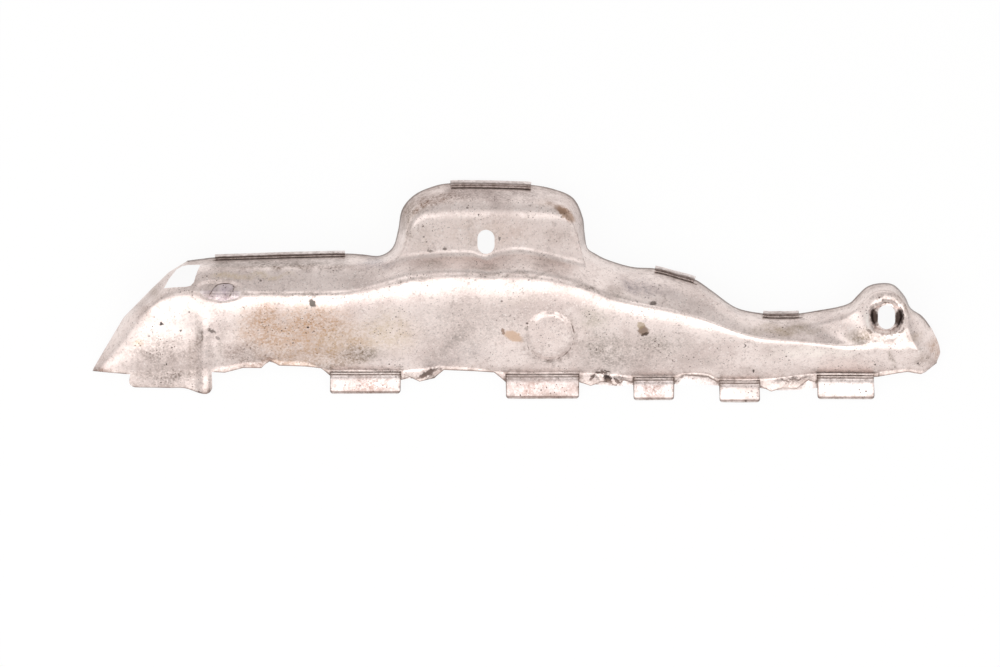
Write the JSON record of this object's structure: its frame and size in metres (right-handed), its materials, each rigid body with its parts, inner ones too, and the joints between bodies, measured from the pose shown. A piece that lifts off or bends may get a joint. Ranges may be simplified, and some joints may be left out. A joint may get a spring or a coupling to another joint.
{
  "type": "exhaust heat shield",
  "caption": "Long pressed-steel exhaust heat shield: two thin hemmed skins with a rounded ridge, a raised dome with a bolt slot, and a cupped bolt slot at the far end.",
  "frame": {"origin": "centre of the bounding box's bottom, on the plane that the folded edges rest on", "axes": "+X along the length from the lug end to the cup end, +Y from the tabbed edge to the dome's rim, +Z out of the front face"},
  "size_m": [0.4662, 0.1222, 0.0415],
  "materials": {
    "front_skin": "aged pressed aluminised steel with soft sheen, tan heat tint and dark speckle",
    "rear_skin": "pressed aluminised steel, cleaner where the front skin covers it"
  },
  "bodies": {
    "root": {"front_skin": "front_skin", "rear_skin": "rear_skin"}
  },
  "joints": []
}
